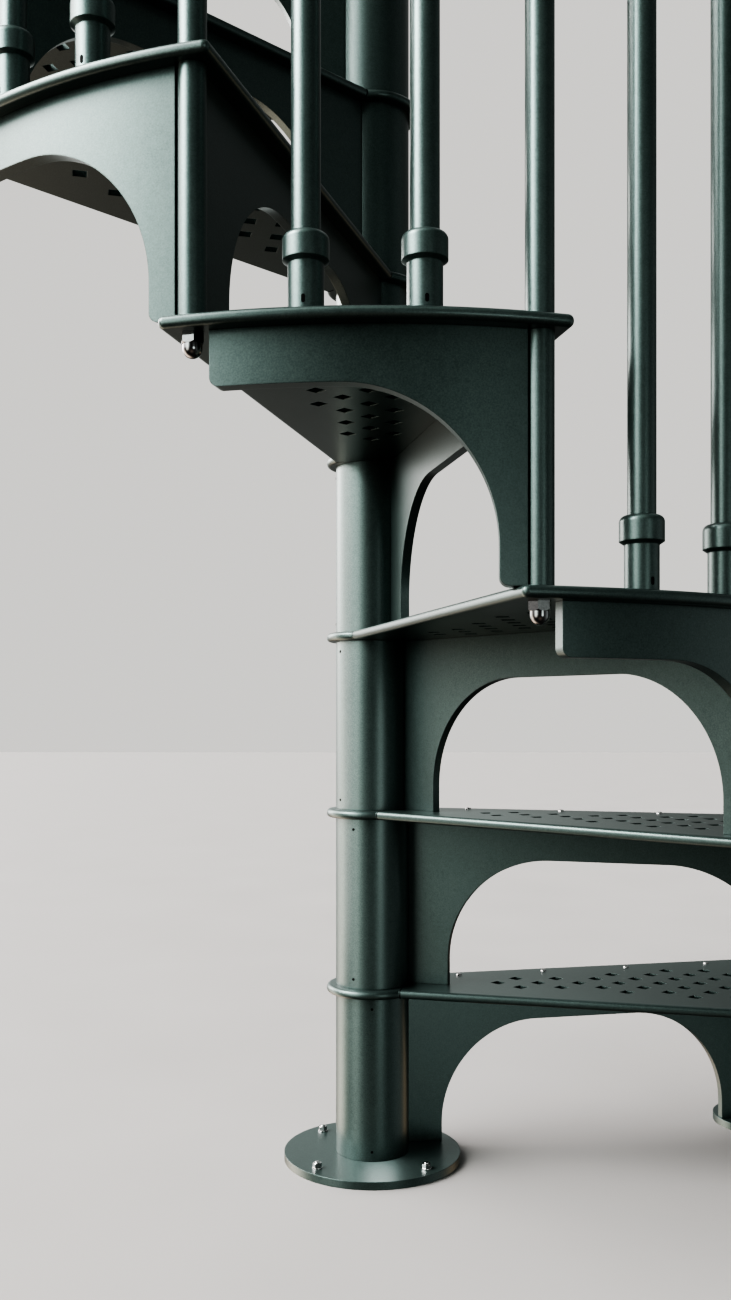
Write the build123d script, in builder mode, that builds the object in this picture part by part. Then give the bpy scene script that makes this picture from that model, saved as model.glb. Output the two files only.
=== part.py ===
from build123d import *
import os
from math import asin, atan, cos, degrees, hypot, radians, sin

# Steel spiral stair of open treads about a centre pole, climbing clockwise seen from above.
# Millimetres and degrees. The origin is on the pole's axis at the floor, +Z up,
# and +X runs along the middle line of the first tread.

# Flight
rise = 230
tread_count = 10
step_turn = 30
landing_turn = 60
rim_r = 600
seat = 0.3

# Centre pole
pole_r = 38
sleeve_wall = 9.7
pole_cap_lip = 6
pole_cap_h = 26
pole_cap_round = 18
pole_over_landing = 900

# Floor plates
base_r = 116
base_t = 10
stud_edge = 18.5
stud_hole_r = 3.3
stud_count = 4
foot_r = 67

# Tread and landing plates
tread_t = 11
tread_overlap = 2.25
edge_offset = 40
edge_round = 5
tip_round = 6
hub_rim = 12
hole_side = 14.14
hole_pitch = 53
hole_hub_margin = 106
hole_edge_margin = 56
hole_skirt_margin = 49

# Riser plates with an arched opening
riser_t = 11
riser_setback = 20.5
inner_leg_w = 51
outer_leg_w = 65
lintel_h = 63
arch_side_h = 34

# Outer skirts
skirt_inset = 16
skirt_wall = 15
skirt_band_h = 49
skirt_leg_h = 35
skirt_leg_turn = 3.6
skirt_free_turn = 1.8
skirt_corner_round = 8.5

# Balusters
baluster_inset = 23
baluster_r = 12.7
baluster_turn = 10
foot_sleeve_wall = 2.8
foot_sleeve_h = 41
foot_collar_step = 4.5
foot_collar_h = 26
foot_collar_bevel = 3
foot_collar_round = 6

# Handrail
rail_h = 900
rail_w = 42
rail_t = 22
rail_round = 7
rail_overhang_turn = 4

# Fixing plate at the upper floor
flange_h = 120
flange_t = 10
flange_hub_gap = 50
flange_rim_gap = 55
flange_hole_r = 7
flange_hole_edge = 45

# Worked out from the sizes above
step_count = tread_count + 1
half_step = step_turn / 2
half_landing = landing_turn / 2
landing_z = step_count * rise
sleeve_r = pole_r + seat + sleeve_wall
hub_r = sleeve_r + hub_rim
stud_circle_r = base_r - stud_edge
baluster_circle_r = rim_r - baluster_inset
skirt_r = rim_r - skirt_inset
riser_offset = edge_offset - riser_setback
arch_inner = sleeve_r + inner_leg_w
arch_outer = baluster_circle_r - outer_leg_w
arch_round = rise - lintel_h - arch_side_h
skirt_sweep_r = rise - tread_t - skirt_band_h - skirt_leg_h
first_hole = hub_r + hole_hub_margin
hole_rim_r = skirt_r - skirt_wall - hole_skirt_margin
foot_sleeve_r = baluster_r + foot_sleeve_wall
foot_collar_r = foot_sleeve_r + foot_collar_step
flange_inner = hub_r + flange_hub_gap
flange_outer = rim_r - flange_rim_gap
rail_slope = atan(rise / (radians(step_turn) * baluster_circle_r))
bore_r = pole_r + seat
foot_h = foot_sleeve_h + foot_collar_h


def step(n):
    """Frame of step n: the middle of the pole at the tread's top, x along its middle line"""
    return Location((0, 0, n * rise), (0, 0, -step_turn * (n - 1)))


def landing():
    """Frame of the landing: the middle of the pole at its top, x along its middle line"""
    return Location((0, 0, landing_z), (0, 0, half_step - step_turn * tread_count - half_landing))


def around(radius, turn):
    """Point of a circle about the pole"""
    return radius * cos(radians(turn)), radius * sin(radians(turn))


def edge_lean(half_turn):
    """Angle in radians between a plate's middle line and its straight edges"""
    return radians(half_turn + tread_overlap) - asin(edge_offset / rim_r)


def hole_places(half_turn):
    """Staggered grid of holes, as far as it keeps its margins from the edges and the rim"""
    lean = edge_lean(half_turn)
    half_pitch = hole_pitch / 2
    rows = int(rim_r / half_pitch)
    places = []
    for row in range(-rows, rows + 1):
        for column in range(rows):
            x = first_hole + column * half_pitch
            y = row * half_pitch
            to_edge = edge_offset + x * sin(lean) - abs(y) * cos(lean)
            staggered = (row + column) % 2 == 0
            if staggered and to_edge >= hole_edge_margin and hypot(x, y) <= hole_rim_r:
                places.append((x, y))
    return places


# Base plate, with holes for the floor studs
with BuildPart() as base_plate:
    Cylinder(base_r, base_t, align=(Align.CENTER, Align.CENTER, Align.MIN))
    with PolarLocations(stud_circle_r, stud_count, start_angle=half_step * 3):
        Hole(stud_hole_r)
base_plate.part.label = "base_plate"

# Foot disc under the first corner post
with BuildPart() as foot_disc:
    with Locations(around(baluster_circle_r, half_step)):
        Cylinder(foot_r, base_t, align=(Align.CENTER, Align.CENTER, Align.MIN))
foot_disc.part.label = "foot_disc"

# Pole that threads through every hub, and the sleeves that space the hubs
pole_top = landing_z + pole_over_landing
with BuildPart() as centre_pole:
    with BuildSketch(Plane.XY.offset(base_t)):
        Circle(pole_r)
    extrude(amount=pole_top - base_t)
centre_pole.part.label = "centre_pole"


def sleeve(bottom, top):
    """Tube round the pole between two heights"""
    with BuildPart() as tube:
        with BuildSketch(Plane.XY.offset(bottom)):
            Circle(sleeve_r)
            Circle(bore_r, mode=Mode.SUBTRACT)
        extrude(amount=top - bottom)
    return tube.part


with BuildPart() as pole_sleeves:
    add(sleeve(base_t, rise - tread_t))
    for n in range(1, step_count):
        add(sleeve(n * rise, (n + 1) * rise - tread_t))
    add(sleeve(landing_z, pole_top))
pole_sleeves.part.label = "pole_sleeves"

with BuildPart() as pole_cap:
    with BuildSketch(Plane.XY.offset(pole_top)):
        Circle(sleeve_r + pole_cap_lip)
    extrude(amount=pole_cap_h)
    fillet(pole_cap.edges().group_by(Axis.Z)[-1], pole_cap_round)
pole_cap.part.label = "pole_cap"

# Hub ring of a plate, rounded all round its outer edge
with BuildPart() as hub:
    Cylinder(hub_r, tread_t, align=(Align.CENTER, Align.CENTER, Align.MAX))
    fillet(hub.edges().filter_by(GeomType.CIRCLE), edge_round)


def stair_plate(half_turn):
    """Perforated wedge with a hub ring, its top at height 0 and its middle line along x"""
    lean = edge_lean(half_turn)
    corner_x, corner_y = around(rim_r, half_turn + tread_overlap)
    root_x, root_y = -edge_offset * sin(lean), edge_offset * cos(lean)
    with BuildPart() as plate:
        with BuildSketch(Plane.XY.offset(-tread_t)) as outline:
            with BuildLine():
                Polyline((corner_x, -corner_y), (root_x, -root_y), (root_x, root_y), (corner_x, corner_y))
                ThreePointArc((corner_x, corner_y), (rim_r, 0), (corner_x, -corner_y))
            make_face()
            fillet(outline.vertices().sort_by(Axis.X)[-2:], tip_round)
        extrude(amount=tread_t)
        faces = plate.faces().filter_by(Axis.Z)
        fillet(faces.edges(), edge_round)
        add(hub.part)
        with BuildSketch(Plane.XY.offset(-tread_t)):
            Circle(bore_r)
            with Locations(*hole_places(half_turn)):
                Rectangle(hole_side, hole_side, rotation=45)
        extrude(amount=tread_t, mode=Mode.SUBTRACT)
    return plate.part


tread = stair_plate(half_step)
treads = []
for n in range(1, step_count):
    placed = tread.moved(step(n))
    placed.label = f"tread_{n:02d}"
    treads.append(placed)

landing_plate = stair_plate(half_landing).moved(landing())
landing_plate.label = "landing_plate"


def riser_face():
    """Middle plane of a riser: through the corner post, beside the pole's axis, x outwards and y up"""
    turn = radians(half_step) - asin(riser_offset / baluster_circle_r)
    return Plane(
        origin=(-riser_offset * sin(turn), riser_offset * cos(turn), 0),
        x_dir=(cos(turn), sin(turn), 0),
        z_dir=(sin(turn), -cos(turn), 0),
    )


def riser_plate(foot_z):
    """Upright plate under a tread's nose, from a height up to the tread, with an arch between its legs"""
    with BuildPart() as riser:
        with BuildSketch(riser_face()):
            with Locations((0, foot_z)):
                Rectangle(baluster_circle_r, -tread_t - foot_z, align=(Align.MIN, Align.MIN))
        extrude(amount=riser_t / 2, both=True)
        with BuildSketch(riser_face()):
            with BuildLine():
                arch = FilletPolyline(
                    (arch_inner, -rise),
                    (arch_inner, -lintel_h),
                    (arch_outer, -lintel_h),
                    (arch_outer, -rise),
                    radius=arch_round,
                )
                Line(arch @ 1, arch @ 0)
            make_face()
        extrude(amount=riser_t, both=True, mode=Mode.SUBTRACT)
        Cylinder(sleeve_r + seat, 3 * rise, mode=Mode.SUBTRACT)
        with Locations(around(baluster_circle_r, half_step)):
            Cylinder(baluster_r + seat, 3 * rise, mode=Mode.SUBTRACT)
    return riser.solids().sort_by(SortBy.VOLUME)[-1]


risers = []
for n in range(1, step_count + 1):
    standing_on = base_t if n == 1 else (n - 1) * rise
    placed = riser_plate(standing_on - n * rise).moved(step(n))
    placed.label = f"riser_{n:02d}"
    risers.append(placed)


def skirt(half_turn, foot_z):
    """Curved plate under a rim: a band with one leg, joined by a quarter arc, the leg beside a corner post"""
    post_turn = half_turn - degrees(asin((baluster_r + seat) / baluster_circle_r))
    free_turn = skirt_free_turn - half_turn
    middle_r = skirt_r - skirt_wall / 2
    sweep_turn = half_turn - skirt_leg_turn - degrees(asin(skirt_sweep_r / middle_r))
    band_z = -tread_t - skirt_band_h
    across = Plane(
        origin=(0, 0, 0),
        x_dir=(-sin(radians(sweep_turn)), cos(radians(sweep_turn)), 0),
        z_dir=(cos(radians(sweep_turn)), sin(radians(sweep_turn)), 0),
    )
    with BuildPart() as plate:
        with BuildSketch(Plane.XY.offset(foot_z)):
            with BuildLine():
                outer = CenterArc((0, 0), skirt_r, free_turn, post_turn - free_turn)
                inner = CenterArc((0, 0), skirt_r - skirt_wall, free_turn, post_turn - free_turn)
                Line(outer @ 0, inner @ 0)
                Line(outer @ 1, inner @ 1)
            make_face()
        extrude(amount=-tread_t - foot_z)
        with BuildSketch(across):
            with BuildLine():
                sweep_z = band_z - skirt_sweep_r
                Polyline((0, band_z), (-skirt_r, band_z), (-skirt_r, foot_z), (skirt_sweep_r, foot_z),
                         (skirt_sweep_r, sweep_z))
                RadiusArc((skirt_sweep_r, sweep_z), (0, band_z), -skirt_sweep_r)
            make_face()
        extrude(amount=skirt_r * 1.1, mode=Mode.SUBTRACT)
        fillet(plate.edges().group_by(Axis.Z)[0].sort_by(Axis.Y)[0], skirt_corner_round)
        at_band = plate.edges().filter_by_position(Axis.Z, band_z - seat, band_z + seat)
        fillet(at_band.sort_by(Axis.Y)[0], skirt_corner_round)
    return plate.part


skirts = []
for n in range(1, step_count):
    standing_on = base_t if n == 1 else (n - 1) * rise
    placed = skirt(half_step, standing_on - n * rise).moved(step(n))
    placed.label = f"skirt_{n:02d}"
    skirts.append(placed)
landing_skirt = skirt(half_landing, -rise).moved(landing())
landing_skirt.label = "landing_skirt"

# Corner posts between the plates, each under the nose of the upper one
with BuildPart() as corner_spacers:
    for n in range(1, step_count + 1):
        standing_on = base_t if n == 1 else (n - 1) * rise
        with BuildSketch(Plane.XY.offset(standing_on)):
            with Locations(around(baluster_circle_r, half_step - step_turn * (n - 1))):
                Circle(baluster_r)
        extrude(amount=n * rise - tread_t - standing_on)
corner_spacers.part.label = "corner_spacers"


def rail_underside(turn):
    """Plane just below the sloping handrail, at a turn past the first corner post"""
    place = around(baluster_circle_r, half_step - turn)
    drop = (rail_t / 2 + seat) / cos(rail_slope)
    onward = half_step - turn - 90
    return Plane(
        origin=(*place, rise + rail_h + rise * turn / step_turn - drop),
        x_dir=(cos(radians(onward + 90)), sin(radians(onward + 90)), 0),
        z_dir=(-sin(rail_slope) * cos(radians(onward)), -sin(rail_slope) * sin(radians(onward)), cos(rail_slope)),
    )


def rod(turn, bottom, level_top=False):
    """Upright bar on the baluster circle, cut to the handrail above it"""
    with BuildPart() as bar:
        with BuildSketch(Plane.XY.offset(bottom)):
            with Locations(around(baluster_circle_r, half_step - turn)):
                Circle(baluster_r)
        extrude(amount=landing_z + rail_h - rail_t / 2 - seat - bottom)
        if not level_top:
            split(bisect_by=rail_underside(turn), keep=Keep.BOTTOM)
    return bar.part


landing_start = step_turn * tread_count
landing_end = landing_start + landing_turn

with BuildPart() as corner_balusters:
    for n in range(1, step_count + 1):
        add(rod(step_turn * (n - 1), n * rise))
    for turn in (landing_start + step_turn, landing_end):
        add(rod(turn, landing_z, level_top=True))
corner_balusters.part.label = "corner_balusters"

middle_turns = (half_step - baluster_turn / 2, half_step + baluster_turn / 2)
with BuildPart() as mid_balusters:
    for n in range(1, step_count):
        for turn in middle_turns:
            add(rod(step_turn * (n - 1) + turn, n * rise + foot_h))
    for start in (landing_start, landing_start + step_turn):
        for turn in middle_turns:
            add(rod(start + turn, landing_z + foot_h, level_top=True))
mid_balusters.part.label = "mid_balusters"

# Turned foot of a middle baluster: a sleeve, and a collar with a bevel below and a rounded shoulder
with BuildPart() as foot:
    with BuildSketch(Plane.XZ):
        with BuildLine():
            Polyline(
                (0, 0),
                (foot_sleeve_r, 0),
                (foot_sleeve_r, foot_sleeve_h),
                (foot_collar_r, foot_sleeve_h + foot_collar_bevel),
                (foot_collar_r, foot_h),
                (0, foot_h),
                close=True,
            )
        make_face()
    revolve(axis=Axis.Z)
    fillet(foot.edges().group_by(Axis.Z)[-1], foot_collar_round)

with BuildPart() as baluster_feet:
    for bay in range(step_count + 1):
        bottom = min(bay + 1, step_count) * rise
        for turn in middle_turns:
            place = around(baluster_circle_r, half_step - step_turn * bay - turn)
            add(foot.part.moved(Location((*place, bottom))))
baluster_feet.part.label = "baluster_feet"

# Handrail, climbing over the flight and mitred to the level rail of the landing
mitre_x, mitre_y = around(1, half_step - landing_start)
mitre = Plane(
    origin=(mitre_x * baluster_circle_r, mitre_y * baluster_circle_r, landing_z + rail_h),
    x_dir=(mitre_x, mitre_y, 0),
    z_dir=(mitre_y * cos(rail_slope / 2), -mitre_x * cos(rail_slope / 2), sin(rail_slope / 2)),
)
rail_start = half_step + rail_overhang_turn
rail_start_z = rise + rail_h - rise * rail_overhang_turn / step_turn
overrun_turn = degrees(rail_t / baluster_circle_r)
flight_turn = rail_overhang_turn + landing_start + overrun_turn
with BuildLine() as climb:
    Helix(rise * 360 / step_turn, rise * flight_turn / step_turn, baluster_circle_r, lefthand=True)
rail_path = climb.line.moved(Location((0, 0, rail_start_z), (0, 0, rail_start)))

with BuildPart() as handrail:
    with BuildSketch(Plane(origin=rail_path @ 0, x_dir=(*around(1, rail_start), 0), z_dir=rail_path % 0)):
        RectangleRounded(rail_w, rail_t, rail_round)
    sweep(path=rail_path, is_frenet=True)
    with BuildSketch(mitre):
        Rectangle(2 * rail_w, 3 * rail_t)
    extrude(amount=3 * rail_t, mode=Mode.SUBTRACT)
handrail.part.label = "handrail"

with BuildPart() as landing_rail:
    level_start = half_step - landing_start + overrun_turn
    level_turn = landing_turn + overrun_turn + rail_overhang_turn
    with BuildLine(Plane.XY.offset(landing_z + rail_h)) as level:
        CenterArc((0, 0), baluster_circle_r, level_start, -level_turn)
    with BuildSketch(Plane(origin=level.line @ 0, x_dir=(*around(1, level_start), 0), z_dir=level.line % 0)):
        RectangleRounded(rail_w, rail_t, rail_round)
    sweep(path=level.line)
    with BuildSketch(mitre):
        Rectangle(2 * rail_w, 3 * rail_t)
    extrude(amount=-3 * rail_t, mode=Mode.SUBTRACT)
landing_rail.part.label = "landing_rail"

# Fixing plate under the landing's far edge, bolted to the edge of the upper floor
exit_lean = edge_lean(half_landing)
exit_face = Plane(
    origin=(-(edge_offset - edge_round) * sin(exit_lean), -(edge_offset - edge_round) * cos(exit_lean), 0),
    x_dir=(cos(exit_lean), -sin(exit_lean), 0),
    z_dir=(-sin(exit_lean), -cos(exit_lean), 0),
)
with BuildPart() as flange:
    with BuildSketch(exit_face):
        with Locations((flange_inner, -tread_t - flange_h)):
            Rectangle(flange_outer - flange_inner, flange_h, align=(Align.MIN, Align.MIN))
    extrude(amount=-flange_t)
    with BuildSketch(exit_face):
        with Locations(*[(x, -tread_t - flange_h / 2) for x in (flange_inner + flange_hole_edge,
                                                               flange_outer - flange_hole_edge)]):
            Circle(flange_hole_r)
    extrude(amount=-flange_t, mode=Mode.SUBTRACT)
landing_flange = flange.part.moved(landing())
landing_flange.label = "landing_flange"

pieces = [
    base_plate.part,
    foot_disc.part,
    centre_pole.part,
    pole_sleeves.part,
    pole_cap.part,
    landing_plate,
    landing_skirt,
    landing_flange,
    corner_spacers.part,
    corner_balusters.part,
    mid_balusters.part,
    baluster_feet.part,
    handrail.part,
    landing_rail.part,
]
os.makedirs("parts", exist_ok=True)
for piece in pieces + treads + risers + skirts:
    export_step(piece, f"parts/{piece.label}.step")
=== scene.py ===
from math import asin, cos, degrees, hypot, pi, radians, sin, sqrt

import bmesh
import bpy
from mathutils import Matrix, Vector


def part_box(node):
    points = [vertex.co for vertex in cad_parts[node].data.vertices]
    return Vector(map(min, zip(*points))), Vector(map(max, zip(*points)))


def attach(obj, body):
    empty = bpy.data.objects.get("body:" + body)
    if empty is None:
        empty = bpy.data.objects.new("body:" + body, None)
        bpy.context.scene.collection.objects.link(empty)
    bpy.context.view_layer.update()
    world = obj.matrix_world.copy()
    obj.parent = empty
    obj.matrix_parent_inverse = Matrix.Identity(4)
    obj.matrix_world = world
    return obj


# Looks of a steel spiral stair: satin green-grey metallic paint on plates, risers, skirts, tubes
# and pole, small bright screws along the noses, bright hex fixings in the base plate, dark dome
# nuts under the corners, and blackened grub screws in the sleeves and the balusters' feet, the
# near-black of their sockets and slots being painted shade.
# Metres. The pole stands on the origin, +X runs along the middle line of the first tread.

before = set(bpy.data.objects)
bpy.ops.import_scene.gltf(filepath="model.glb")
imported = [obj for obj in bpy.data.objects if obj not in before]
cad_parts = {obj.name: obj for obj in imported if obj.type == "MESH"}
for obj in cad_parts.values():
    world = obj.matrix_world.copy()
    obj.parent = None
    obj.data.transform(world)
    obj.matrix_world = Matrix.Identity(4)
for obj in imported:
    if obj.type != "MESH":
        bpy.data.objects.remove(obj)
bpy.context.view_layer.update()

# Sizes read from the frame
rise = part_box("tread_01")[1].z
tread_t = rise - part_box("tread_01")[0].z
landing_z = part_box("landing_plate")[1].z
base_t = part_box("base_plate")[1].z
sleeve_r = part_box("pole_sleeves")[1].x
foot_low, foot_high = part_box("foot_disc")
post_circle_r = hypot((foot_low.x + foot_high.x) / 2, (foot_low.y + foot_high.y) / 2)

# Turns in degrees, the treads climbing clockwise seen from above
step_turn = 30
half_step = step_turn / 2
landing_turn = 60
tread_count = 10
landing_step = tread_count + 1
baluster_turn = 10
tread_overlap = 2.25

# Beads round the plates: a ring about the pole, and straight bars that meet it in a fine joint
hub_r = 0.060
edge_offset = 0.040
rim_r = 0.600
bead_joint_t = 0.0013
bead_joint_depth = 0.014
bead_joint_proud = 0.00015
bead_round = 0.005

# Fixings of the base plate
stud_circle_r = 0.0975
stud_count = 4
first_stud_turn = 45
washer_r = 0.0066
washer_t = 0.0016
washer_round = 0.25 * washer_t
nut_across = 0.010
nut_h = 0.0052
nut_turn = 17
stud_r = 0.003
stud_proud = 0.0016
stud_round = 0.3 * stud_r

# Turning of a nut's corners: the bar over the nut's corners, the chamfer over its flats
turning_over = 1.02
turning_chamfer = 1.1

# Button screws along a tread's nose
nose_screw_r = 0.0038
nose_screw_h = 0.0022
nose_screw_round = 0.92 * nose_screw_h
nose_screw_rim = 0.08 * nose_screw_r
nose_screw_sink = 0.4 * nose_screw_h
nose_screw_line = 0.0195
nose_screw_reaches = (0.125, 0.246, 0.368, 0.490)

# Dome nuts under the corner posts
dome_nut_across = 0.0182
dome_nut_hex_h = 0.0095
dome_nut_r = 0.0087
dome_nut_h = 0.0215
dome_nut_round = 0.97 * dome_nut_r

# Grub screws in the sleeves of the pole and in the feet of the balusters
grub_r = 0.0017
grub_rim = 0.0003
grub_h = 0.0008
grub_proud = 0.00022
grub_sink = 0.0001
sleeve_grub_low = 0.0125
sleeve_grub_high = 0.2054
foot_sleeve_r = 0.0155
foot_slot_r = 0.0016
foot_slot_h = 0.0072
foot_slot_z = 0.008

# Share of a size that counts as nothing where faces, edges and corners are picked by place
hair = 1e-3


def around(radius, turn, z=0.0):
    """Point on a circle about the pole, the turn in degrees"""
    return Vector((radius * cos(radians(turn)), radius * sin(radians(turn)), z))


def turned_about_z(turn):
    return Matrix.Rotation(radians(turn), 4, "Z")


def middle_turn(step):
    """Direction of a tread's middle line; step 11 is the landing"""
    if step == landing_step:
        return half_step - step_turn * tread_count - landing_turn / 2
    return -step_turn * (step - 1)


def nose_turn(step):
    """Direction of the corner post under a tread's nose"""
    return half_step - step_turn * (step - 1)


# Modelling

def select_only(*pieces):
    bpy.ops.object.select_all(action="DESELECT")
    for piece in pieces:
        piece.select_set(True)
    bpy.context.view_layer.objects.active = pieces[0]


def edit(piece):
    """Edit mode on the piece, with nothing of it selected"""
    select_only(piece)
    bpy.ops.object.mode_set(mode="EDIT")
    bpy.ops.mesh.select_mode(type="FACE")
    bpy.ops.mesh.select_all(action="DESELECT")


def leave_edit():
    bpy.ops.object.mode_set(mode="OBJECT")


def pick_faces(piece, wanted):
    """Selects the faces of the edited piece whose middle and normal are wanted"""
    bpy.ops.mesh.select_all(action="DESELECT")
    mesh = bmesh.from_edit_mesh(piece.data)
    for face in mesh.faces:
        face.select_set(wanted(face.calc_center_median(), face.normal))
    bmesh.update_edit_mesh(piece.data)


def pick_edges(piece, wanted):
    """Selects the edges of the edited piece whose two ends are wanted"""
    bpy.ops.mesh.select_mode(type="EDGE")
    bpy.ops.mesh.select_all(action="DESELECT")
    mesh = bmesh.from_edit_mesh(piece.data)
    for edge in mesh.edges:
        edge.select_set(wanted(edge.verts[0].co, edge.verts[1].co))
    bmesh.update_edit_mesh(piece.data)


def round_bar(name, radius, height, sides):
    """Upright bar standing on the origin"""
    bpy.ops.object.select_all(action="DESELECT")
    bpy.ops.mesh.primitive_cylinder_add(vertices=sides, radius=radius, depth=height,
                                        location=(0, 0, height / 2))
    bar = bpy.context.object
    bar.name = name
    bpy.ops.object.transform_apply(location=True, rotation=True, scale=True)
    return bar


def hex_bar(name, across, height):
    """Upright hexagon bar standing on the origin, its flats square to Y"""
    return round_bar(name, across / 2 / cos(radians(30)), height, sides=6)


def round_top_edge(bar, height, width, segments):
    """Rounds the rim at the top of an upright bar; one segment makes a chamfer"""
    edit(bar)
    near_top = height - width * hair
    pick_edges(bar, lambda a, b: a.z > near_top and b.z > near_top)
    bpy.ops.mesh.bevel(offset=width, segments=segments, profile=0.5, affect="EDGES")
    leave_edit()


def sink_top(bar, height, rim, depth):
    """Sinks the top of an upright bar inside a rim"""
    edit(bar)
    near_top = height * (1 - hair)
    pick_faces(bar, lambda middle, normal: normal.z > 0.9 and middle.z > near_top)
    bpy.ops.mesh.inset(thickness=rim)
    bpy.ops.mesh.extrude_region_move(TRANSFORM_OT_translate={"value": (0, 0, -depth)})
    leave_edit()


def combine(piece, other, operation):
    """Joins or cuts the piece with another closed piece, which is used up"""
    cut = piece.modifiers.new("cut", "BOOLEAN")
    cut.operation = operation
    cut.solver = "EXACT"
    cut.object = other
    select_only(piece)
    bpy.ops.object.modifier_apply(modifier=cut.name)
    bpy.data.objects.remove(other)


def smooth(piece, angle=35):
    """Smooth shading, but for edges that turn by more than the angle"""
    select_only(piece)
    bpy.ops.object.shade_smooth_by_angle(angle=radians(angle))


def join(name, pieces):
    select_only(*pieces)
    if len(pieces) > 1:
        bpy.ops.object.join()
    piece = bpy.context.object
    piece.name = name
    piece.data.name = name
    return piece


def repeat(name, model, places):
    """One piece of copies of the model, each at its place, a Matrix"""
    copies = []
    for place in places:
        select_only(model)
        bpy.ops.object.duplicate()
        copy = bpy.context.object
        copy.matrix_world = place
        bpy.ops.object.transform_apply(location=True, rotation=True, scale=True)
        copies.append(copy)
    bpy.data.objects.remove(model)
    return join(name, copies)


def finish_piece(piece, material):
    piece.data.materials.clear()
    piece.data.materials.append(material)
    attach(piece, "root")


# Materials

class Value:
    """One output of a material's node. Arithmetic on it adds Math nodes"""

    def __init__(self, recipe, socket):
        self.recipe = recipe
        self.socket = socket

    def maths(self, operation, *values):
        return self.recipe.node("ShaderNodeMath", {"operation": operation}, dict(enumerate(values)))

    def __add__(self, other):
        return self.maths("ADD", self, other)

    def __radd__(self, other):
        return self.maths("ADD", other, self)

    def __sub__(self, other):
        return self.maths("SUBTRACT", self, other)

    def __rsub__(self, other):
        return self.maths("SUBTRACT", other, self)

    def __mul__(self, other):
        return self.maths("MULTIPLY", self, other)

    def __rmul__(self, other):
        return self.maths("MULTIPLY", other, self)

    def exponential(self):
        return self.maths("EXPONENT", self)

    def clamped(self):
        return self.recipe.node("ShaderNodeClamp", {}, {"Value": self})


class Recipe:
    """A node tree that is written down as expressions"""

    def __init__(self, tree):
        self.tree = tree
        self.tree.nodes.clear()

    def node(self, kind, settings=None, values=None, output=0):
        """Adds a node: its settings first, then values or links of its sockets; gives one output"""
        made = self.tree.nodes.new(kind)
        for name, setting in (settings or {}).items():
            setattr(made, name, setting)
        for name, value in (values or {}).items():
            if isinstance(value, Value):
                self.tree.links.new(value.socket, made.inputs[name])
            else:
                made.inputs[name].default_value = value
        return Value(self, made.outputs[output])

    def place(self):
        return self.node("ShaderNodeTexCoord", output="Object")

    def noise(self, scale, detail=2.0, roughness=0.5):
        """Soft noise about 0.5, with so many lumps to the metre"""
        values = {"Vector": self.place(), "Scale": scale, "Detail": detail, "Roughness": roughness}
        return self.node("ShaderNodeTexNoise", {}, values, "Fac")

    def blend(self, amount, first, second, mode="MIX"):
        """Colour between two, or with ADD some of the second on top of the first"""
        made = self.tree.nodes.new("ShaderNodeMix")
        made.data_type = "RGBA"
        made.blend_type = mode
        self.tree.links.new(amount.socket, made.inputs[0])
        for socket, colour in ((made.inputs[6], first), (made.inputs[7], second)):
            if isinstance(colour, Value):
                self.tree.links.new(colour.socket, socket)
            else:
                socket.default_value = (*colour, 1)
        return Value(self, made.outputs[2])

    def bump(self, height, strength, distance, over=None):
        values = {"Height": height, "Strength": strength, "Distance": distance}
        if over:
            values["Normal"] = over
        return self.node("ShaderNodeBump", {}, values)

    def soft_edges(self, radius):
        """Normals that round every sharp edge a little, as the paint does"""
        return self.node("ShaderNodeBevel", {"samples": 4}, {"Radius": radius})

    def surface(self, **sockets):
        """Principled surface; a socket's name is written with _ for its spaces"""
        values = {name.replace("_", " "): value for name, value in sockets.items()}
        self.output("ShaderNodeOutputMaterial", self.node("ShaderNodeBsdfPrincipled", {}, values))

    def output(self, kind, shader):
        end = self.tree.nodes.new(kind)
        self.tree.links.new(shader.socket, end.inputs["Surface"])


def new_material(name):
    material = bpy.data.materials.new(name)
    material.use_nodes = True
    return material, Recipe(material.node_tree)


def satin_metallic_paint():
    """Green-grey metallic powder coat: sandy flake, faint mottling and clouding, a fine skin"""
    material, paint = new_material("satin_metallic_paint")
    flake = paint.noise(640, 2.0, 0.7)
    mottle = paint.noise(150, 2.0)
    cloud = paint.noise(7, 3.0)
    tone = (flake + 0.25 * mottle + 0.3 * cloud - 0.3).clamped()
    colour = paint.blend(tone, (0.039, 0.065, 0.061), (0.108, 0.154, 0.145))
    roughness = 0.24 + 0.10 * cloud + 0.10 * flake + 0.04 * mottle
    paint.surface(
        Base_Color=colour,
        Metallic=0.65,
        Roughness=roughness,
        Normal=paint.bump(flake + 0.3 * mottle, 0.15, 0.0005, paint.soft_edges(0.0015)),
        Coat_Weight=0.25,
        Coat_Roughness=0.2,
    )
    return material


def bright_zinc():
    """Zinc-plated screws and nuts, slightly brushed by the spanner"""
    material, zinc = new_material("bright_zinc")
    grain = zinc.noise(900, 3.0)
    colour = zinc.blend(grain, (0.40, 0.41, 0.42), (0.60, 0.60, 0.59))
    zinc.surface(
        Base_Color=colour,
        Metallic=1.0,
        Roughness=0.12 + 0.12 * grain,
        Normal=zinc.bump(grain, 0.10, 0.0003),
    )
    return material


def black_nickel():
    """Dark glossy plating of the dome nuts"""
    material, nickel = new_material("black_nickel")
    grain = nickel.noise(300, 2.0)
    colour = nickel.blend(grain, (0.16, 0.17, 0.17), (0.24, 0.25, 0.25))
    nickel.surface(
        Base_Color=colour,
        Metallic=1.0,
        Roughness=0.07 + 0.08 * grain,
        Normal=nickel.bump(grain, 0.08, 0.0003),
    )
    return material


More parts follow.
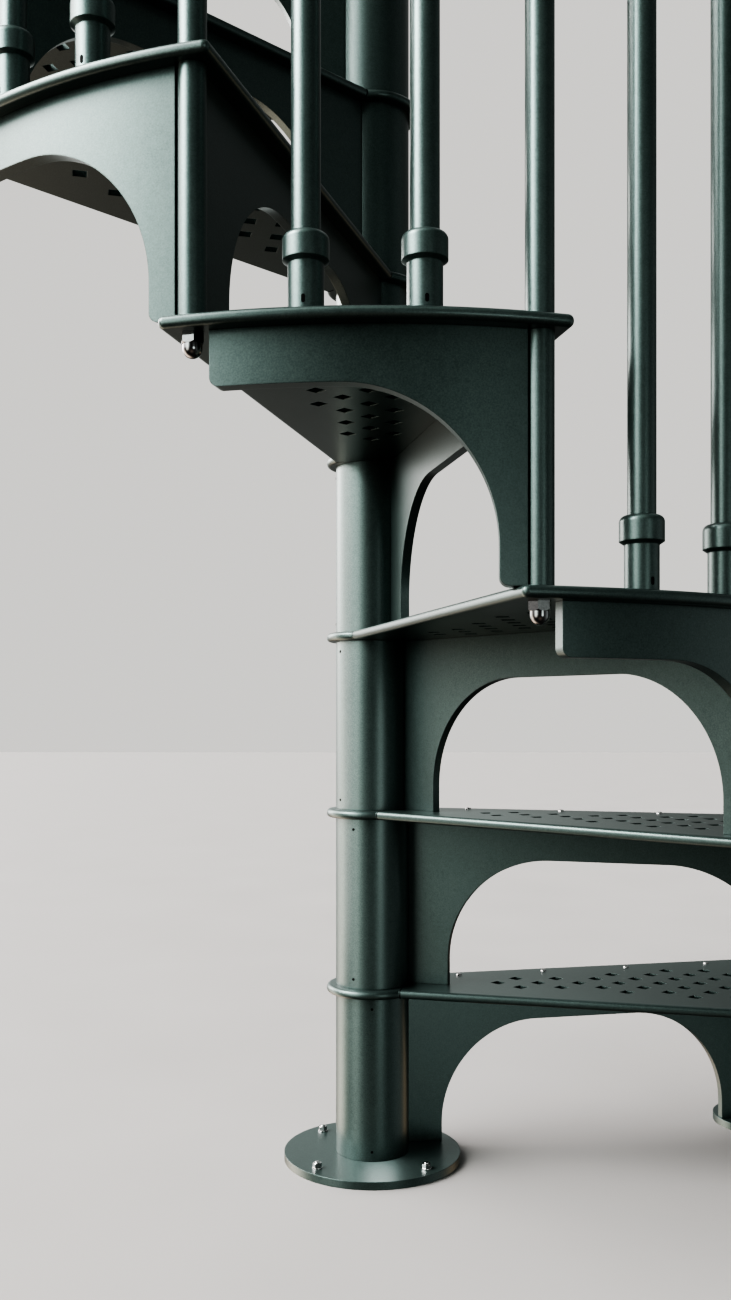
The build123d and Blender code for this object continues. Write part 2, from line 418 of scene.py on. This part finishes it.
def socket_shade_and_joint_black():
    """Blackened screws, their sockets and slots darkened as painted shade; the beads' shut lines"""
    material, black = new_material("socket_shade_and_joint_black")
    grain = black.noise(600, 2.0)
    colour = black.blend(grain, (0.003, 0.0035, 0.0035), (0.009, 0.010, 0.010))
    black.surface(Base_Color=colour, Roughness=0.6 + 0.2 * grain, Specular_IOR_Level=0.1)
    return material


def pale_floor():
    """Plain pale studio floor"""
    material, floor = new_material("pale_floor")
    cloud = floor.noise(3, 3.0)
    colour = floor.blend(cloud, (0.295, 0.295, 0.288), (0.33, 0.33, 0.323))
    floor.surface(Base_Color=colour, Roughness=0.6 + 0.1 * cloud)
    return material


paint = satin_metallic_paint()
zinc = bright_zinc()
nickel = black_nickel()
black = socket_shade_and_joint_black()

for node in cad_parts.values():
    node.data.materials.clear()
    node.data.materials.append(paint)


# Fixings of the base plate: a washer, a chamfered hex nut and the stud's end

def hex_nut(name, across, height):
    """Hexagon nut whose top corners are turned off at 30 degrees"""
    nut = hex_bar(name, across, height)
    corner_r = across / 2 / cos(radians(30))
    turned = round_bar("turning", corner_r * turning_over, height, sides=48)
    chamfer = (corner_r - across / 2) * turning_chamfer
    round_top_edge(turned, height, chamfer, segments=1)
    combine(nut, turned, "INTERSECT")
    return nut


def floor_fixing():
    washer = round_bar("washer", washer_r, washer_t, sides=36)
    round_top_edge(washer, washer_t, washer_round, segments=2)
    nut = hex_nut("nut", nut_across, nut_h)
    nut.location.z = washer_t
    stud_h = washer_t + nut_h + stud_proud
    stud = round_bar("stud", stud_r, stud_h, sides=24)
    round_top_edge(stud, stud_h, stud_round, segments=3)
    return join("floor_fixing", [washer, nut, stud])


def stud_place(k):
    """Place of a floor fixing on the base plate, each nut turned a little further"""
    middle = around(stud_circle_r, first_stud_turn + 360 / stud_count * k, base_t)
    return Matrix.Translation(middle) @ turned_about_z(nut_turn * k)


stud_places = [stud_place(k) for k in range(stud_count)]
fixings = repeat("floor_fixings", floor_fixing(), stud_places)
smooth(fixings, angle=30)
finish_piece(fixings, zinc)


# Button screws along the noses

def nose_place(step, reach):
    """Place over the riser's middle line, so far from the pole, on top of a tread"""
    lean = radians(nose_turn(step)) - asin(nose_screw_line / post_circle_r)
    along = Vector((cos(lean), sin(lean), 0))
    across = Vector((-sin(lean), cos(lean), 0))
    top = Vector((0, 0, step * rise))
    return Matrix.Translation(along * reach + across * nose_screw_line + top)


def button_screw():
    head = round_bar("button", nose_screw_r, nose_screw_h, sides=20)
    round_top_edge(head, nose_screw_h, nose_screw_round, segments=4)
    sink_top(head, nose_screw_h, nose_screw_rim, nose_screw_sink)
    return head


nose_places = [
    nose_place(step, reach) for step in range(1, landing_step + 1) for reach in nose_screw_reaches
]
nose_screws = repeat("nose_screws", button_screw(), nose_places)
smooth(nose_screws)
finish_piece(nose_screws, zinc)


# Dome nuts on the ends of the corner posts' tie rods, under the treads

def dome_nut():
    hexagon = hex_nut("dome_nut", dome_nut_across, dome_nut_hex_h)
    dome = round_bar("dome", dome_nut_r, dome_nut_h, sides=32)
    round_top_edge(dome, dome_nut_h, dome_nut_round, segments=8)
    combine(hexagon, dome, "UNION")
    return hexagon


upside_down = Matrix.Rotation(pi, 4, "X")
dome_places = [
    Matrix.Translation(around(post_circle_r, nose_turn(step + 1), step * rise - tread_t))
    @ turned_about_z(nose_turn(step + 1)) @ upside_down
    for step in range(1, landing_step)
]
dome_nuts = repeat("corner_dome_nuts", dome_nut(), dome_places)
smooth(dome_nuts, angle=30)
finish_piece(dome_nuts, nickel)


# Grub screws: a dark socket, its near-black painted shade, in a thin rim, flush in a round wall

def grub_screw():
    screw = round_bar("grub", grub_r, grub_h, sides=20)
    sink_top(screw, grub_h, grub_rim, grub_sink)
    return screw


def in_wall(wall_r, centre, turn, z):
    """Place in an upright round wall about a centre, facing outwards along a turn"""
    outwards = turned_about_z(turn) @ Matrix.Rotation(pi / 2, 4, "Y")
    return Matrix.Translation(centre + around(wall_r + grub_proud - grub_h, turn, z)) @ outwards


def sleeve_grub_heights(step):
    """Heights of a sleeve's two grub screws; the first sleeve stands on the base plate"""
    foot_z = (step - 1) * rise
    raised = base_t if step == 1 else 0
    return foot_z + sleeve_grub_low + raised, foot_z + sleeve_grub_high


pole = Vector((0, 0, 0))
sleeve_places = [
    in_wall(sleeve_r, pole, middle_turn(step) - 90, z)
    for step in range(1, tread_count + 1)
    for z in sleeve_grub_heights(step)
]
sleeve_grubs = repeat("sleeve_grub_screws", grub_screw(), sleeve_places)
smooth(sleeve_grubs)
# The near-black of the sockets is painted shade of holes deeper than the shallow sink
finish_piece(sleeve_grubs, black)

# Turn and height of the middle of each pair of balusters: one on a tread, two on the landing
first_landing_pair = nose_turn(landing_step) - half_step
baluster_pairs = [(middle_turn(step), step * rise) for step in range(1, tread_count + 1)]
baluster_pairs += [(first_landing_pair, landing_z), (first_landing_pair - step_turn, landing_z)]


def slot_screw():
    """Screw end behind an upright slot: the bar's low half is drawn down to the slot's length"""
    slot = round_bar("slot", foot_slot_r, grub_h, sides=16)
    edit(slot)
    bpy.ops.mesh.select_mode(type="VERT")
    mesh = bmesh.from_edit_mesh(slot.data)
    for corner in mesh.verts:
        corner.select_set(corner.co.x > foot_slot_r * hair)
    bmesh.update_edit_mesh(slot.data)
    bpy.ops.transform.translate(value=(foot_slot_h - 2 * foot_slot_r, 0, 0))
    leave_edit()
    select_only(slot)
    bpy.ops.transform.translate(value=(foot_slot_r - foot_slot_h / 2, 0, 0))
    bpy.ops.object.transform_apply(location=True, rotation=True, scale=True)
    sink_top(slot, grub_h, grub_rim, grub_sink)
    return slot


def foot_place(turn, z):
    """Place of the slot in a baluster's foot, facing away from the pole"""
    return in_wall(foot_sleeve_r, around(post_circle_r, turn), turn, z + foot_slot_z)


foot_places = [
    foot_place(turn + side * baluster_turn / 2, z) for turn, z in baluster_pairs for side in (-1, 1)
]
foot_slots = repeat("foot_slot_screws", slot_screw(), foot_places)
smooth(foot_slots)
# The near-black of the slots is painted shade of the opening in each foot
finish_piece(foot_slots, black)


# Fine joints where the straight beads of a plate meet the ring round the pole

def bead_joint():
    """Sliver across a bead, its tip rounded as the bead is; the tip reaches out along +Y"""
    middle = (0, bead_joint_proud - bead_joint_depth / 2, -tread_t / 2)
    bpy.ops.object.select_all(action="DESELECT")
    bpy.ops.mesh.primitive_cube_add(size=1, location=middle)
    joint = bpy.context.object
    joint.scale = (bead_joint_t, bead_joint_depth, tread_t + 2 * bead_joint_proud)
    bpy.ops.object.transform_apply(location=True, rotation=True, scale=True)
    edit(joint)
    pick_edges(joint, lambda a, b: a.y > 0 and b.y > 0 and abs(a.x - b.x) > bead_joint_t / 2)
    tip_round = bead_round + bead_joint_proud
    bpy.ops.mesh.bevel(offset=tip_round, segments=6, profile=0.5, affect="EDGES")
    leave_edit()
    return joint


def joint_places(step):
    """Places of a plate's two joints, X along the straight bead and Y out of it"""
    half_turn = (landing_turn if step == landing_step else step_turn) / 2
    lean = half_turn + tread_overlap - degrees(asin(edge_offset / rim_r))
    reach = sqrt(hub_r ** 2 - edge_offset ** 2)
    places = []
    for side in (-1, 1):
        run = middle_turn(step) + side * lean
        out = run + side * 90
        corner = around(edge_offset, out) + around(reach + bead_joint_t, run, step * rise)
        places.append(Matrix.Translation(corner) @ turned_about_z(out - 90))
    return places


plate_joints = [place for step in range(1, landing_step + 1) for place in joint_places(step)]
bead_joints = repeat("hub_bead_joints", bead_joint(), plate_joints)
finish_piece(bead_joints, black)


# Studio: pale floor, soft lights mostly from the left, and lamps for some of the nodes alone

floor_size = 40
bpy.ops.object.select_all(action="DESELECT")
bpy.ops.mesh.primitive_plane_add(size=floor_size, location=(0, 0, 0))
floor = bpy.context.object
floor.name = "studio_floor"
floor.data.materials.append(pale_floor())
floor.visible_glossy = False
floor.visible_diffuse = False


def soft_lamp(name, size, place, target, watts, colour, lit_nodes):
    """Broad lamp that lights only the nodes named"""
    light = bpy.data.lights.new(name, "AREA")
    light.shape = "RECTANGLE"
    light.size, light.size_y = size
    light.energy = watts
    light.color = colour
    lamp = bpy.data.objects.new(name, light)
    lamp.location = place
    aim = Vector(target) - Vector(place)
    lamp.rotation_euler = aim.to_track_quat("-Z", "Y").to_euler()
    lamp.visible_camera = False
    bpy.context.scene.collection.objects.link(lamp)
    lit = bpy.data.collections.new(name + "_lit")
    for node in lit_nodes:
        lit.objects.link(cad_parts[node])
    lamp.light_linking.receiver_collection = lit
    return lamp


soft_lamp(
    "pole_light",
    size=(1.2, 1.9),
    place=(-1.5, -0.05, 0.95),
    target=(0, -0.05, 0.95),
    watts=8.6,
    colour=(1.0, 0.84, 0.82),
    lit_nodes=("pole_sleeves", "centre_pole"),
)
soft_lamp(
    "rod_light",
    size=(0.6, 0.7),
    place=(-1.02, -1.06, 1.75),
    target=(-0.1, -0.57, 1.15),
    watts=5.6,
    colour=(0.93, 1.0, 1.0),
    lit_nodes=("corner_balusters", "mid_balusters", "baluster_feet", "corner_spacers"),
)
# A small lamp at the pole's foot for the fan of light on the base plate, shaded by nothing else
foot_lamp = soft_lamp(
    "foot_light",
    size=(0.04, 0.02),
    place=(0.01, 0.03, 0.068),
    target=(0, -0.09, base_t),
    watts=0.011,
    colour=(0.92, 1.0, 0.98),
    lit_nodes=("base_plate",),
)
foot_lamp.light_linking.blocker_collection = foot_lamp.light_linking.receiver_collection

world = bpy.data.worlds.new("studio")
world.use_nodes = True
bpy.context.scene.world = world
sky = Recipe(world.node_tree)
outlook = sky.node("ShaderNodeTexCoord", output="Generated")


def soft_spot(turn, height, width):
    """How much of a round soft light shows in a direction; turn 0 is in front, 90 on the left"""
    turn, height = radians(turn), radians(height)
    centre = (-sin(turn) * cos(height), -cos(turn) * cos(height), sin(height))
    settings = {"operation": "DOT_PRODUCT"}
    facing = sky.node("ShaderNodeVectorMath", settings, {0: outlook, 1: centre}, "Value")
    return ((facing - 1.0) * (1 / radians(width) ** 2)).exponential()


# The studio's soft lights: turn, height and width in degrees, colour
softboxes = {
    "key": (81, 42, 13, (8.8, 8.2, 8.1)),
    "second key, further round": (127, 18, 13, (4.1, 3.8, 3.75)),
    "front key": (48, 14, 12, (1.8, 1.85, 1.8)),
    "front key, high": (68, 40, 12, (1.9, 2.0, 2.0)),
    "low panel in front": (52, -8, 10, (1.2, 1.1, 1.0)),
    "low panel, left": (112, -18, 13, (1.7, 1.4, 1.2)),
    "floor bounce, left": (135, -42, 13, (1.5, 1.15, 0.95)),
    "floor bounce, front": (0, -42, 14, (0.15, 0.11, 0.09)),
    "back light": (172, 8, 13, (0.3, 0.32, 0.31)),
    "top light": (15, 60, 14, (0.45, 0.5, 0.45)),
    "rim light, right": (334, -3, 7, (1.7, 1.8, 1.75)),
    "fill, right": (272, -6, 20, (0.27, 0.28, 0.28)),
    "warm bounce behind": (237, -14, 8, (0.5, 0.33, 0.2)),
    "top light behind": (205, 55, 16, (0.3, 0.3, 0.3)),
}
faint_light = (0.026, 0.025, 0.024)
backdrop = (0.285, 0.28, 0.27)
light = sky.node("ShaderNodeRGB")
light.socket.default_value = (*faint_light, 1)
for turn, height, width, colour in softboxes.values():
    light = sky.blend(soft_spot(turn, height, width), light, colour, "ADD")
camera_ray = sky.node("ShaderNodeLightPath", output="Is Camera Ray")
light = sky.blend(camera_ray, light, backdrop)
sky.output("ShaderNodeOutputWorld", sky.node("ShaderNodeBackground", {}, {"Color": light}))

# Camera: level, 0.58 m above the floor and 1.6 m in front of the pole, the frame shifted up

photo_size = (731, 1300)
camera_place = (0.01656, -1.5959, 0.5763)
camera_swing = 0.92
focal_px = 1208.3
horizon_px = 720.03
camera = bpy.data.cameras.new("camera")
camera.sensor_width = 36
camera.sensor_fit = "AUTO"
camera.lens = focal_px * camera.sensor_width / photo_size[1]
camera.shift_y = (horizon_px - photo_size[1] / 2) / photo_size[1]
camera.clip_start = 0.05
camera.dof.use_dof = False
viewer = bpy.data.objects.new("camera", camera)
viewer.location = camera_place
viewer.rotation_euler = (radians(90), 0, radians(camera_swing))
scene = bpy.context.scene
scene.collection.objects.link(viewer)
scene.camera = viewer
scene.view_settings.view_transform = "AgX"
scene.view_settings.look = "AgX - Very High Contrast"
scene.view_settings.exposure = 1.1
